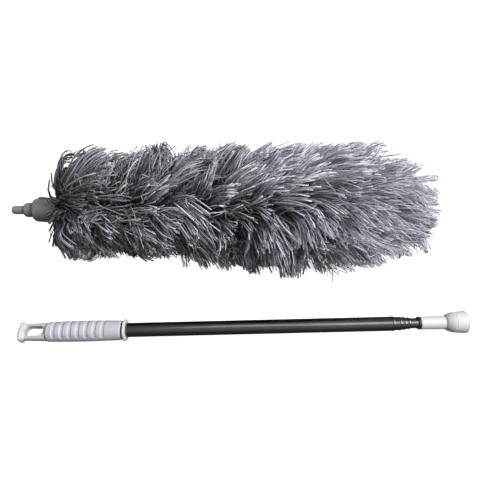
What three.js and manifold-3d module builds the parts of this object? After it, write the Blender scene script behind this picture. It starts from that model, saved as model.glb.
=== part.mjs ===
// Extendable feather duster: a telescopic pole with a flared socket, and the bendable head that plugs into it.
// The head lies beside the pole. Both rest on the plane z = 0, with the pole along +X.
import * as THREE from "three";
import { mergeVertices } from "three/addons/utils/BufferGeometryUtils.js";
import Module from "manifold-3d";

// Telescopic tubes
const TUBE_COUNT = 5;
const TUBE_OD = 18; // outermost tube
const TUBE_WALL = 0.35;
const TUBE_GAP = 0.3; // radial gap between a tube and the next one in
const TUBE_LENGTH = 442.3; // outermost tube
const LIP_LENGTH = 3; // rolled front end
const BEAD_HEIGHT = 0.3; // how far the rolled end stands out
const FIRST_STEP = 9; // how far tube 2 stands out of tube 1 when closed
const STEP = 5.5; // the same for the tubes between tube 2 and the last
const LAST_STEP = 8.6; // bare end of the last tube, up to its stop ring
const BUSH_GUIDE = 24; // guide of a friction bush, behind its tube
const BUSH_SPIGOT = 6; // end of a friction bush, inside its tube
const BUSH_WALL = 1;

// Handle
const REST_DIAMETER = 28; // collar ring and socket rim, on which the pole lies
const FLANGE_LENGTH = 4.2;
const FLANGE_WIDTH = 24.8;
const FLANGE_HEIGHT = 18;
const LOOP_LENGTH = 29.6; // flattened plate in front of the flange
const LOOP_REAR_WIDTH = 20.8;
const LOOP_REAR_HEIGHT = 9.6;
const LOOP_FRONT_WIDTH = 22.8;
const LOOP_FRONT_HEIGHT = 14;
const LOOP_FILLET = 3; // between the flange and the plate
const LOOP_POWER = 4; // squareness of the plate and the flange
const LOOP_SPIGOT = 14; // end that plugs into tube 1
const SEAM_GAP = 1.5; // between the plate and the grip
const HOLE_LENGTH = 24.4;
const HOLE_WIDTH = 12.6;
const HOLE_OFFSET = 2; // from the flange to the hole
const GRIP_LENGTH = 95;
const GRIP_REAR_WALL = 3.3;
const GRIP_FRONT_WALL = 3.2;
const GRIP_SWELL = 0.8; // how far the middle of the grip stands out
const GROOVE_COUNT = 7;
const GROOVE_PITCH = 10.4;
const GROOVE_WIDTH = 5.4;
const GROOVE_DEPTH = 0.8;
const GROOVE_START = 7.5; // from the rear end of the grip to the first groove
const GROOVE_REACH = 67; // degrees to each side of the vertical
const RING_GAP = 1.8;
const RING_LENGTH = 4.4;

// Socket at the front of the pole
const STOP_RING_WALL = 1.45;
const STOP_RING_LENGTH = 3.6;
const SLEEVE_WALL = 1.65;
const SLEEVE_LENGTH = 31.3;
const SLEEVE_GRIP = 16; // length of the last tube inside the sleeve
const SHOULDER_LENGTH = 11.1;
const SHOULDER_NECK = 20.2; // diameter beside the sleeve
const SHOULDER_ROUND = 9; // length of the rounded part
const INSERT_WALL = 0.8; // wall around the plug tip
const CUP_WALL = 1.2; // wall around the plug collar
const CUP_FLOOR = 1.6;
const CUP_SET = 5; // length of the cup inside the shoulder
const RIM_LENGTH = 14.6;
const RIM_BAND = 3.4; // cylindrical end of the rim
const RIM_FLARE = 1.1; // how far the rim opens out towards the band
const MOUTH_DIAMETER = 25.2;
const MOUTH_DEPTH = 4.6;

// Plug of the head
const PLUG_TIP_DIAMETER = 11.6;
const PLUG_TIP_LENGTH = 17.7;
const PLUG_COLLAR_DIAMETER = 20;
const PLUG_COLLAR_LENGTH = 13.4;
const COLLAR_GROOVE = 1;
const SHANK_DIAMETER = 7;
const SHANK_DEPTH = 10; // length of the shank inside the barrel
const BARREL_LENGTH = 33.5;
const BARREL_NECK = 24; // diameter beside the collar
const BARREL_SHOULDER = 32;
const BARREL_MOUTH = 36; // diameter beside the fibres
const BARREL_ROUND = 4.5; // length of the rounded shoulder

// Bendable core and its fibres
const CORE_DIAMETER = 12;
const LINK_COUNT = 4;
const LINK_LENGTH = 113;
const BALL_DIAMETER = 10;
const NECK_DIAMETER = 6;
const BEND_GAP = 6; // bare length of core at each bend
const CAP_LENGTH = 14;
const CAP_DEPTH = 8; // length of the core inside the end cap
const CAP_DIAMETER = 16;
const BACKING_WALL = 2.7;
const LOCK_COLUMNS = 24; // twice the number of locks in a row
const LOCK_ROWS = 7; // rows in each of the four lengths
const LOCK_WIDTH = 17;
const LOCK_THICKNESS = 3;
const LOCK_BOW = 0.1; // bow of a lock towards the root end, as a share of its length
const FLUFF_START = 64; // from the end of the plug to the first fibre tips
const FLUFF_ROOT_RADIUS = 72;
const FLUFF_RADIUS = 92;
const FLUFF_WIDEST = 429.1; // from the end of the plug to the widest place
const FLUFF_END = 584.1; // from the end of the plug to the last fibre tips
const FLUFF_LAST_RADIUS = 24; // radius of the last row of tips

// Places
const POLE_BUTT_X = -269.8;
const POLE_Y = -111.5;
const HEAD_X = -298.9; // end of the plug
const HEAD_Y = 47.3;
const HEAD_AXIS_HEIGHT = 64;
const HEAD_YAW = -1.78; // degrees about the vertical
const FLOOR_CUT = 0.5; // depth of the flat that the fibres stand on

// Clearances
const SLIDE_CLEARANCE = 0.06; // radial, bush in tube and tube in rolled lip
const FIT_CLEARANCE = 0.15; // radial, between pieces that are fixed together
const FACE_CLEARANCE = 0.3; // between end faces
const PLUG_CLEARANCE = 0.25; // radial, plug in socket
const BALL_CLEARANCE = 0.3;

const SIDES = 24; // facets of a round piece
const CORE_SIDES = 12;
const EDGE = 0.8; // rounded edges of the mouldings
const WELD = 1e-4;

const wasm = await Module();
wasm.setup();

const finish = (color, roughness, metalness) =>
  new THREE.MeshStandardMaterial({ color, roughness, metalness });

const WHITE_PLASTIC = finish(0xe9e9ec, 0.4, 0);
const GRIP_PLASTIC = finish(0xc9c9d0, 0.55, 0);
const SMOKED_CHROME = finish(0x4a4846, 0.15, 1);
const DARK_RUBBER = finish(0x2a2a2c, 0.7, 0);
const BUSH_PLASTIC = finish(0xb9b6ad, 0.5, 0);
const PLUG_PLASTIC = finish(0x77767a, 0.5, 0);
const CORE_PLASTIC = finish(0x3c3c40, 0.6, 0);
const GREY_FIBRE = finish(0x64646b, 0.95, 0);

// Merges shared corners and drops the triangles that shrink to nothing on an axis.
function weld(geometry) {
  geometry.deleteAttribute("normal");
  geometry.deleteAttribute("uv");
  const merged = mergeVertices(geometry, WELD);
  const corners = merged.index.array;
  const kept = [];
  for (let i = 0; i < corners.length; i += 3) {
    const [a, b, c] = corners.slice(i, i + 3);
    if (a !== b && b !== c && c !== a) kept.push(a, b, c);
  }
  merged.setIndex(kept);
  return merged;
}

// Turns a profile of [along, radius] points about the X axis, with a flat facet underneath.
// The outside runs towards +X. A profile that doesn't start on the axis closes on itself.
function revolve(profile, sides = SIDES) {
  const points = profile.map(([along, radius]) => new THREE.Vector2(radius, along));
  if (profile[0][1] > 0) points.push(points[0].clone());
  const geometry = new THREE.LatheGeometry(points, sides, Math.PI / sides);
  return weld(geometry.rotateZ(-Math.PI / 2));
}

// Points of an arc in a profile, about [along, radius], from one angle to another in degrees.
function arc(along, radius, size, from, to, steps) {
  return Array.from({ length: steps + 1 }, (_, i) => {
    const angle = THREE.MathUtils.degToRad(from + ((to - from) * i) / steps);
    return [along + size * Math.cos(angle), radius + size * Math.sin(angle)];
  });
}

// Points of a quarter ellipse in a profile, which starts steep and ends level.
function dome(start, length, from, to, steps) {
  return Array.from({ length: steps + 1 }, (_, i) => {
    const angle = (Math.PI / 2) * (i / steps);
    return [start + length * (1 - Math.cos(angle)), from + (to - from) * Math.sin(angle)];
  });
}

// Points of a rounded cross-section. A power of 2 makes an ellipse, and a higher one is squarer.
function crossSection(along, width, height, power = 2) {
  const swell = (value) => Math.sign(value) * Math.abs(value) ** (2 / power);
  return Array.from({ length: SIDES }, (_, i) => {
    const angle = (2 * Math.PI * (i + 0.5)) / SIDES;
    return [along, (width / 2) * swell(Math.sin(angle)), (height / 2) * swell(Math.cos(angle))];
  });
}

// A plain ring with its edges taken off on the outside.
function ring(start, end, outer, inner, edge) {
  return revolve([
    [start, outer - edge],
    [start + edge, outer],
    [end - edge, outer],
    [end, outer - edge],
    [end, inner],
    [start, inner],
  ]);
}

function toSolid(geometry) {
  const vertProperties = Float32Array.from(geometry.attributes.position.array);
  const triVerts = Uint32Array.from(geometry.index.array);
  return new wasm.Manifold(new wasm.Mesh({ numProp: 3, vertProperties, triVerts }));
}

function cut(geometry, tool) {
  const mesh = toSolid(geometry).subtract(toSolid(tool)).getMesh();
  const result = new THREE.BufferGeometry();
  result.setAttribute("position", new THREE.BufferAttribute(mesh.vertProperties, 3));
  result.setIndex(new THREE.BufferAttribute(mesh.triVerts, 1));
  return result;
}

function piece(group, name, geometry, material) {
  const mesh = new THREE.Mesh(geometry, material);
  mesh.name = name;
  group.add(mesh);
}

// Sizes that follow from the driving dimensions. Along the pole, 0 is the butt face.
const restRadius = REST_DIAMETER / 2;
const loopEnd = FLANGE_LENGTH + LOOP_LENGTH;
const gripStart = loopEnd + SEAM_GAP;
const gripEnd = gripStart + GRIP_LENGTH;
const ringStart = gripEnd + RING_GAP;
const ringEnd = ringStart + RING_LENGTH;
const tubeRadius = (n) => TUBE_OD / 2 - (n - 1) * (TUBE_WALL + TUBE_GAP);
const tubeBore = (n) => tubeRadius(n) - TUBE_WALL;
const tubeOneStart = gripStart + FACE_CLEARANCE;
const loopSpigotEnd = gripStart + LOOP_SPIGOT;
const bushStart = (n) =>
  loopSpigotEnd + FACE_CLEARANCE + (n - 2) * (BUSH_GUIDE + BUSH_SPIGOT + FACE_CLEARANCE);
const tubeStart = (n) => (n === 1 ? tubeOneStart : bushStart(n) + BUSH_GUIDE + FACE_CLEARANCE);
const lipEnd = (n) => tubeOneStart + TUBE_LENGTH + (n > 1 ? FIRST_STEP + (n - 2) * STEP : 0);
const lastRadius = tubeRadius(TUBE_COUNT);
const stopRingStart = lipEnd(TUBE_COUNT - 1) + LAST_STEP;
const sleeveStart = stopRingStart + STOP_RING_LENGTH + FACE_CLEARANCE;
const sleeveEnd = sleeveStart + SLEEVE_LENGTH;
const sleeveBore = lastRadius + FIT_CLEARANCE;
const sleeveRadius = sleeveBore + SLEEVE_WALL;
const lastTubeEnd = sleeveStart + SLEEVE_GRIP;
const shoulderStart = sleeveEnd + FACE_CLEARANCE;
const shoulderEnd = shoulderStart + SHOULDER_LENGTH;
const rimStart = shoulderEnd + FACE_CLEARANCE;
const rimEnd = rimStart + RIM_LENGTH;
const cupStart = shoulderEnd - CUP_SET;
const pinBore = PLUG_TIP_DIAMETER / 2 + PLUG_CLEARANCE;
const insertRadius = pinBore + INSERT_WALL;
const cupBore = PLUG_COLLAR_DIAMETER / 2 + PLUG_CLEARANCE;
const cupRadius = cupBore + CUP_WALL;
const shoulderRadius = restRadius - RIM_FLARE;

// Along the head, 0 is the end of the plug.
const collarStart = PLUG_TIP_LENGTH + FACE_CLEARANCE;
const collarEnd = collarStart + PLUG_COLLAR_LENGTH;
const barrelStart = collarEnd + FACE_CLEARANCE;
const barrelEnd = barrelStart + BARREL_LENGTH;
const shankRadius = SHANK_DIAMETER / 2;
const shankEnd = barrelStart + SHANK_DEPTH;
const coreRadius = CORE_DIAMETER / 2;
const coreStart = shankEnd + FACE_CLEARANCE;
const bendAt = (link) => barrelEnd + link * LINK_LENGTH;
const backingStart = (link) => bendAt(link - 1) + (link === 1 ? FACE_CLEARANCE : BEND_GAP / 2);
const backingEnd = (link) => bendAt(link) - BEND_GAP / 2;
const capStart = backingEnd(LINK_COUNT) + FACE_CLEARANCE;
const coreEnd = capStart + CAP_DEPTH;
const backingBore = coreRadius + FACE_CLEARANCE;
const backingRadius = backingBore + BACKING_WALL;

function hangingLoop() {
  const spigot = 2 * (tubeBore(1) - FIT_CLEARANCE);
  const flange = (along, inset) =>
    crossSection(along, FLANGE_WIDTH - 2 * inset, FLANGE_HEIGHT - 2 * inset, LOOP_POWER);
  const body = weld(closedLoft([
    crossSection(0, 0, 0),
    flange(0, EDGE),
    flange(EDGE, 0),
    flange(FLANGE_LENGTH - EDGE, 0),
    flange(FLANGE_LENGTH, EDGE),
    crossSection(FLANGE_LENGTH + LOOP_FILLET, LOOP_REAR_WIDTH, LOOP_REAR_HEIGHT, LOOP_POWER),
    crossSection(loopEnd, LOOP_FRONT_WIDTH, LOOP_FRONT_HEIGHT, LOOP_POWER),
    crossSection(gripStart, spigot, spigot),
    crossSection(loopSpigotEnd, spigot, spigot),
    crossSection(loopSpigotEnd, 0, 0),
  ]));
  const end = HOLE_WIDTH / 2;
  const rearCentre = FLANGE_LENGTH + HOLE_OFFSET + end;
  const frontCentre = FLANGE_LENGTH + HOLE_OFFSET + HOLE_LENGTH - end;
  const outline = new THREE.Shape();
  outline.absarc(frontCentre, 0, end, -Math.PI / 2, Math.PI / 2);
  outline.absarc(rearCentre, 0, end, Math.PI / 2, (3 * Math.PI) / 2);
  const depth = 2 * REST_DIAMETER;
  const hole = new THREE.ExtrudeGeometry(outline, { depth, bevelEnabled: false, curveSegments: 8 });
  return cut(body, weld(hole.translate(0, 0, -depth / 2)));
}

// Radius of the grip's surface, with grooves that stop short of its two sides.
function gripRadius(along, angle, inGroove) {
  const t = (along - gripStart) / GRIP_LENGTH;
  const wall = THREE.MathUtils.lerp(GRIP_REAR_WALL, GRIP_FRONT_WALL, t) + GRIP_SWELL * Math.sin(Math.PI * t);
  const fromVertical = THREE.MathUtils.radToDeg(Math.asin(Math.abs(Math.sin(angle))));
  const depth = inGroove && fromVertical < GROOVE_REACH ? GROOVE_DEPTH : 0;
  return TUBE_OD / 2 + FIT_CLEARANCE + wall - depth;
}

function gripSleeve() {
  const bore = TUBE_OD / 2 + FIT_CLEARANCE;
  const stations = [{ along: gripStart, inset: EDGE }, { along: gripStart + EDGE }];
  for (let i = 0; i < GROOVE_COUNT; i += 1) {
    const start = gripStart + GROOVE_START + i * GROOVE_PITCH;
    stations.push({ along: start });
    stations.push({ along: start + GROOVE_DEPTH, inGroove: true });
    stations.push({ along: start + GROOVE_WIDTH - GROOVE_DEPTH, inGroove: true });
    stations.push({ along: start + GROOVE_WIDTH });
  }
  stations.push({ along: gripEnd - EDGE }, { along: gripEnd, inset: EDGE });
  const circle = (along, radiusAt) =>
    Array.from({ length: SIDES }, (_, i) => {
      const angle = (2 * Math.PI * (i + 0.5)) / SIDES;
      return [along, radiusAt(angle) * Math.sin(angle), radiusAt(angle) * Math.cos(angle)];
    });
  const rings = stations.map(({ along, inGroove, inset = 0 }) =>
    circle(along, (angle) => gripRadius(along, angle, inGroove) - inset));
  rings.push(circle(gripEnd, () => bore), circle(gripStart, () => bore));
  return closedLoft(rings);
}

// Joins rings of points into a tube that closes on itself, with the outside running towards +X.
function closedLoft(rings) {
  const sides = rings[0].length;
  const index = [];
  rings.forEach((_, k) => {
    const next = (k + 1) % rings.length;
    for (let i = 0; i < sides; i += 1) {
      const j = (i + 1) % sides;
      pushQuad(index, k * sides + i, next * sides + i, next * sides + j, k * sides + j);
    }
  });
  return indexed(rings.flat(), index);
}

function pushQuad(index, a, b, c, d) {
  index.push(a, b, c, a, c, d);
}

function indexed(points, index) {
  const geometry = new THREE.BufferGeometry();
  geometry.setAttribute("position", new THREE.Float32BufferAttribute(points.flat(), 3));
  geometry.setIndex(index);
  return geometry;
}

// A tube whose rolled front end guides the next tube and stops its bush.
function lippedTube(n) {
  const radius = tubeRadius(n);
  const lipBore = tubeRadius(n + 1) + SLIDE_CLEARANCE;
  const end = lipEnd(n);
  const lipStart = end - LIP_LENGTH;
  return revolve([
    [tubeStart(n), radius],
    [lipStart, radius],
    [lipStart + BEAD_HEIGHT, radius + BEAD_HEIGHT],
    [end - BEAD_HEIGHT, radius + BEAD_HEIGHT],
    [end, radius],
    [end, lipBore],
    [lipStart, lipBore],
    [lipStart, tubeBore(n)],
    [tubeStart(n), tubeBore(n)],
  ]);
}

function lastTube() {
  return revolve([
    [tubeStart(TUBE_COUNT), lastRadius],
    [lastTubeEnd, lastRadius],
    [lastTubeEnd, tubeBore(TUBE_COUNT)],
    [tubeStart(TUBE_COUNT), tubeBore(TUBE_COUNT)],
  ]);
}

function frictionBush(n) {
  const start = bushStart(n);
  const guide = tubeBore(n - 1) - SLIDE_CLEARANCE;
  const spigot = tubeBore(n) - SLIDE_CLEARANCE;
  return revolve([
    [start, guide],
    [start + BUSH_GUIDE, guide],
    [start + BUSH_GUIDE, spigot],
    [start + BUSH_GUIDE + BUSH_SPIGOT, spigot],
    [start + BUSH_GUIDE + BUSH_SPIGOT, spigot - BUSH_WALL],
    [start, spigot - BUSH_WALL],
  ]);
}

// Sleeve on the last tube. Its wider front bore holds the spigot of the socket insert.
function tipSleeve() {
  const step = lastTubeEnd + FACE_CLEARANCE / 2;
  const insertBore = insertRadius + FIT_CLEARANCE;
  return revolve([
    [sleeveStart, sleeveRadius - EDGE],
    [sleeveStart + EDGE, sleeveRadius],
    [sleeveEnd - EDGE, sleeveRadius],
    [sleeveEnd, sleeveRadius - EDGE],
    [sleeveEnd, insertBore],
    [step, insertBore],
    [step, sleeveBore],
    [sleeveStart, sleeveBore],
  ]);
}

// Stepped bush in the sleeve, with the bore for the plug tip and the cup for the plug collar.
function socketInsert() {
  const spigotStart = lastTubeEnd + FACE_CLEARANCE;
  const cupEnd = rimEnd - MOUTH_DEPTH - FACE_CLEARANCE;
  return revolve([
    [spigotStart, insertRadius],
    [cupStart, insertRadius],
    [cupStart, cupRadius],
    [cupEnd, cupRadius],
    [cupEnd, cupBore],
    [cupStart + CUP_FLOOR, cupBore],
    [cupStart + CUP_FLOOR, pinBore],
    [spigotStart, pinBore],
  ]);
}

// Rounded shoulder around the bush and the start of its cup.
function socketBell() {
  const bore = insertRadius + FIT_CLEARANCE;
  const step = cupRadius + FIT_CLEARANCE;
  return revolve([
    ...dome(shoulderStart, SHOULDER_ROUND, SHOULDER_NECK / 2, shoulderRadius, 5),
    [shoulderEnd, shoulderRadius],
    [shoulderEnd, step],
    [cupStart - FACE_CLEARANCE, step],
    [cupStart - FACE_CLEARANCE, bore],
    [shoulderStart, bore],
  ]);
}

// Flared rim pressed over the cup, with the wide mouth that takes the barrel's shoulder.
function bellRim() {
  const bore = cupRadius + FIT_CLEARANCE;
  const mouthStart = rimEnd - MOUTH_DEPTH;
  return revolve([
    [rimStart, restRadius - RIM_FLARE],
    [rimEnd - RIM_BAND, restRadius],
    [rimEnd, restRadius],
    [rimEnd, MOUTH_DIAMETER / 2],
    [mouthStart, MOUTH_DIAMETER / 2],
    [mouthStart, bore],
    [rimStart, bore],
  ]);
}

function plugTip() {
  const radius = PLUG_TIP_DIAMETER / 2;
  const round = radius / 2.5;
  return revolve([
    [0, 0],
    ...arc(round, radius - round, round, 180, 90, 3),
    [PLUG_TIP_LENGTH, radius],
    [PLUG_TIP_LENGTH, shankRadius],
    [shankEnd, shankRadius],
    [shankEnd, 0],
  ]);
}

function plugCollar() {
  const radius = PLUG_COLLAR_DIAMETER / 2;
  const bore = shankRadius + FIT_CLEARANCE;
  const groove = collarEnd - 3 * COLLAR_GROOVE;
  return revolve([
    [collarStart, radius - 2 * EDGE],
    [collarStart + 2 * EDGE, radius],
    [groove, radius],
    [groove + COLLAR_GROOVE / 2, radius - COLLAR_GROOVE],
    [groove + 1.5 * COLLAR_GROOVE, radius - COLLAR_GROOVE],
    [groove + 2 * COLLAR_GROOVE, radius],
    [collarEnd, radius],
    [collarEnd, bore],
    [collarStart, bore],
  ]);
}

function connectorBarrel() {
  return revolve([
    ...dome(barrelStart, BARREL_ROUND, BARREL_NECK / 2, BARREL_SHOULDER / 2, 4),
    [barrelEnd - EDGE, BARREL_MOUTH / 2],
    [barrelEnd, BARREL_MOUTH / 2 - EDGE],
    [barrelEnd, coreRadius + FIT_CLEARANCE],
    [shankEnd, coreRadius + FIT_CLEARANCE],
    [shankEnd, shankRadius + FIT_CLEARANCE],
    [barrelStart, shankRadius + FIT_CLEARANCE],
  ]);
}

// One length of the core. It starts in the barrel or in a cup, and ends in a ball or in the end cap.
function coreLink(link) {
  const ball = BALL_DIAMETER / 2;
  const cup = ball + BALL_CLEARANCE;
  const start = bendAt(link - 1);
  const bend = bendAt(link);
  const neck = NECK_DIAMETER / 2;
  const neckAngle = 180 - THREE.MathUtils.radToDeg(Math.asin(neck / ball));
  const rear = link === 1 ? [[coreStart, 0], [coreStart, coreRadius]] : [[start, coreRadius]];
  const front =
    link === LINK_COUNT
      ? [[coreEnd, coreRadius], [coreEnd, 0]]
      : [[bend - BEND_GAP, coreRadius], [bend - BEND_GAP, neck], ...arc(bend, 0, ball, neckAngle, 0, 6)];
  const hollow = link === 1 ? [] : arc(start, 0, cup, 0, 90, 4);
  const profile = [...hollow, ...rear, ...front];
  profile[profile.length - 1][1] = 0;
  profile[0][1] = 0;
  return revolve(profile, CORE_SIDES);
}

function endCap() {
  const radius = CAP_DIAMETER / 2;
  const bore = coreRadius + FIT_CLEARANCE;
  const floor = coreEnd + FACE_CLEARANCE;
  const crown = Array.from({ length: 4 }, (_, i) => {
    const angle = (Math.PI / 2) * (i / 3);
    return [floor + (CAP_LENGTH - CAP_DEPTH) * Math.sin(angle), radius * Math.cos(angle)];
  });
  crown[crown.length - 1][1] = 0;
  return revolve([[floor, 0], [floor, bore], [capStart, bore], [capStart, radius], ...crown]);
}

// Where the tips of a row lie, as [along, radius]: a cone up to the widest place, then an ellipse.
function tipPoint(share) {
  const coneLength = FLUFF_WIDEST - FLUFF_START;
  const endLength = FLUFF_END - FLUFF_WIDEST;
  const lastAngle = Math.acos(FLUFF_LAST_RADIUS / FLUFF_RADIUS);
  const ellipseLength = lastAngle * Math.sqrt((endLength ** 2 + FLUFF_RADIUS ** 2) / 2);
  const travelled = share * (coneLength + ellipseLength);
  if (travelled < coneLength) {
    const t = travelled / coneLength;
    return [FLUFF_START + travelled, THREE.MathUtils.lerp(FLUFF_ROOT_RADIUS, FLUFF_RADIUS, t * t)];
  }
  const angle = (lastAngle * (travelled - coneLength)) / ellipseLength;
  return [FLUFF_WIDEST + endLength * Math.sin(angle), FLUFF_RADIUS * Math.cos(angle)];
}

// Small steady differences between locks.
const vary = (a, b) => Math.abs(Math.sin(12.9898 * a + 78.233 * b) * 43758.5453) % 1;

// One length of backing sleeve with the locks of fibre that grow from alternate panels of its surface.
function fluff(link) {
  const points = [];
  const index = [];
  const addPoint = (along, radius, angle, sideways = 0) => {
    const y = radius * Math.sin(angle) + sideways * Math.cos(angle);
    const z = radius * Math.cos(angle) - sideways * Math.sin(angle);
    return points.push([along, y, z]) - 1;
  };
  const angleAt = (column) => (2 * Math.PI * column) / LOCK_COLUMNS;
  const rowLength = (backingEnd(link) - backingStart(link)) / LOCK_ROWS;
  const circleAt = (along, radius) =>
    Array.from({ length: LOCK_COLUMNS }, (_, i) => addPoint(along, radius, angleAt(i)));
  const outer = Array.from({ length: LOCK_ROWS + 1 }, (_, k) =>
    circleAt(backingStart(link) + k * rowLength, backingRadius));
  const rearBore = circleAt(backingStart(link), backingBore);
  const frontBore = circleAt(backingEnd(link), backingBore);

  const addLock = (row, column, corners) => {
    const angle = angleAt(column + 0.5);
    const share = (row + 0.5) / (LINK_COUNT * LOCK_ROWS);
    const [tipAlong, fullRadius] = tipPoint(share);
    const downward = Math.max(-Math.cos(angle), WELD);
    const reach = fullRadius * (0.9 + 0.12 * vary(row, column));
    const tipRadius = Math.min(reach, (HEAD_AXIS_HEIGHT + FLOOR_CUT) / downward);
    const rootAlong = backingStart(link) + ((row % LOCK_ROWS) + 0.5) * rowLength;
    const length = Math.hypot(tipAlong - rootAlong, tipRadius - backingRadius);
    const lean = [(tipAlong - rootAlong) / length, (tipRadius - backingRadius) / length];
    const bow = LOCK_BOW * length;
    const midAlong = (rootAlong + tipAlong) / 2 - bow * lean[1];
    const midRadius = (backingRadius + tipRadius) / 2 + bow * lean[0];
    const room = (radius) => (4 * Math.PI * radius) / LOCK_COLUMNS;
    const midWidth = Math.min(LOCK_WIDTH, 0.7 * room(midRadius)) / 2;
    const tipWidth = Math.min(0.7 * LOCK_WIDTH, 0.6 * room(tipRadius)) / 2;
    const half = LOCK_THICKNESS / 2;
    const mid = [[-1, -1], [1, -1], [1, 1], [-1, 1]].map(([front, side]) =>
      addPoint(midAlong + front * half * lean[1], midRadius - front * half * lean[0], angle, side * midWidth));
    const tips = [-1, 1].map((side) => addPoint(tipAlong, tipRadius, angle, side * tipWidth));
    corners.forEach((corner, i) => {
      const j = (i + 1) % corners.length;
      pushQuad(index, corner, corners[j], mid[j], mid[i]);
    });
    index.push(mid[0], mid[1], tips[0], mid[2], mid[3], tips[1]);
    pushQuad(index, mid[1], mid[2], tips[1], tips[0]);
    pushQuad(index, mid[3], mid[0], tips[0], tips[1]);
  };

  for (let i = 0; i < LOCK_COLUMNS; i += 1) {
    const j = (i + 1) % LOCK_COLUMNS;
    for (let k = 0; k < LOCK_ROWS; k += 1) {
      const row = (link - 1) * LOCK_ROWS + k;
      const corners = [outer[k][i], outer[k + 1][i], outer[k + 1][j], outer[k][j]];
      if ((row + i) % 2 === 0) addLock(row, i, corners);
      else pushQuad(index, ...corners);
    }
    pushQuad(index, outer[0][i], outer[0][j], rearBore[j], rearBore[i]);
    pushQuad(index, outer[LOCK_ROWS][j], outer[LOCK_ROWS][i], frontBore[i], frontBore[j]);
    pushQuad(index, rearBore[i], rearBore[j], frontBore[j], frontBore[i]);
  }
  return cut(indexed(points, index), belowFloor());
}

// A block under the plane that the head lies on.
function belowFloor() {
  const depth = FLUFF_RADIUS;
  const block = new THREE.BoxGeometry(4 * FLUFF_END, 8 * FLUFF_RADIUS, depth);
  return weld(block.translate(0, 0, -HEAD_AXIS_HEIGHT - depth / 2));
}

const pole = new THREE.Group();
pole.position.set(POLE_BUTT_X, POLE_Y, restRadius * Math.cos(Math.PI / SIDES));
piece(pole, "hanging_loop", hangingLoop(), WHITE_PLASTIC);
piece(pole, "grip_sleeve", gripSleeve(), GRIP_PLASTIC);
piece(pole, "collar_ring", ring(ringStart, ringEnd, restRadius, TUBE_OD / 2 + FIT_CLEARANCE, EDGE), WHITE_PLASTIC);
for (let n = 1; n < TUBE_COUNT; n += 1) {
  piece(pole, `tube_${n}`, lippedTube(n), SMOKED_CHROME);
}
piece(pole, `tube_${TUBE_COUNT}`, lastTube(), SMOKED_CHROME);
for (let n = 2; n <= TUBE_COUNT; n += 1) {
  piece(pole, `friction_bush_${n}`, frictionBush(n), BUSH_PLASTIC);
}
const stopRingEnd = stopRingStart + STOP_RING_LENGTH;
const stopRingRadius = sleeveBore + STOP_RING_WALL;
piece(pole, "stop_ring", ring(stopRingStart, stopRingEnd, stopRingRadius, sleeveBore, EDGE / 2), DARK_RUBBER);
piece(pole, "tip_sleeve", tipSleeve(), WHITE_PLASTIC);
piece(pole, "socket_insert", socketInsert(), WHITE_PLASTIC);
piece(pole, "socket_bell", socketBell(), WHITE_PLASTIC);
piece(pole, "bell_rim", bellRim(), WHITE_PLASTIC);

const head = new THREE.Group();
head.position.set(HEAD_X, HEAD_Y, HEAD_AXIS_HEIGHT);
head.rotation.z = THREE.MathUtils.degToRad(HEAD_YAW);
piece(head, "plug_tip", plugTip(), PLUG_PLASTIC);
piece(head, "plug_collar", plugCollar(), PLUG_PLASTIC);
piece(head, "connector_barrel", connectorBarrel(), PLUG_PLASTIC);
for (let link = 1; link <= LINK_COUNT; link += 1) {
  piece(head, `core_link_${link}`, coreLink(link), CORE_PLASTIC);
  piece(head, `fluff_${link}`, fluff(link), GREY_FIBRE);
}
piece(head, "end_cap", endCap(), CORE_PLASTIC);

const duster = new THREE.Group();
duster.add(pole, head);

export default duster;
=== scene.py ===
"""Looks of the extendable feather duster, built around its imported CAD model."""
import math

import bpy
import numpy as np
from mathutils import Matrix, Vector

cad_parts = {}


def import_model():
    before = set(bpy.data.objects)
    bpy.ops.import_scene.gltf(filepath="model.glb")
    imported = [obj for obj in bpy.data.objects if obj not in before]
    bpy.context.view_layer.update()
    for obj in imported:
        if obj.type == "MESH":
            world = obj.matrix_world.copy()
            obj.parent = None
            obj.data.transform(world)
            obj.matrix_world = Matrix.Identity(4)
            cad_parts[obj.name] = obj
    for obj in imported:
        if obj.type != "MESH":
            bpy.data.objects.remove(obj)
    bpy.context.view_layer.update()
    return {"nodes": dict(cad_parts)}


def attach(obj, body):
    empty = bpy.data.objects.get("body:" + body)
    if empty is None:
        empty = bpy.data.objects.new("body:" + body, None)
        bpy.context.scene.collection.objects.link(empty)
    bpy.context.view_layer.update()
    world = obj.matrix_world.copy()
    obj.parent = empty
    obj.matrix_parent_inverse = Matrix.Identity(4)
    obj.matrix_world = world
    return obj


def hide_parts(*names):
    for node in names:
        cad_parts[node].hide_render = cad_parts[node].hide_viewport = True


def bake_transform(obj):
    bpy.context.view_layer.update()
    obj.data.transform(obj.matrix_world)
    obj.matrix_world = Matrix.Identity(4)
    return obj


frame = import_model()

SEED = 11
MM = 0.001
LATHE_SIDES = 96
FILLET_STEPS = 5
DOME_STEPS = 14
SUPPORT = 1.6  # where the straight run beside a fillet starts, as a multiple of the fillet

# Places, as in the CAD source, in millimetres
POLE_ORIGIN = (-269.8, -111.5, 14 * math.cos(math.pi / 24))
HEAD_ORIGIN = (-298.9, 47.3, 64)
HEAD_YAW = -1.78

# Telescopic tubes: radius, rear end and front end
TUBES = (
    (9.0, 35.6, 477.9),
    (8.35, 73.9, 486.9),
    (7.7, 104.2, 492.4),
    (7.05, 134.5, 497.9),
    (6.4, 164.8, 526.4),
)
TUBE_WALL = 0.35
LIP_LENGTH = 3
BEAD_HEIGHT = 0.45
BEAD_RUN = 0.9  # length of the slope in front of the lip
NECK_LENGTH = 1.3  # thinner end of the lip
NECK_WALL = 0.2
SLIDE_CLEARANCE = 0.06

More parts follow.
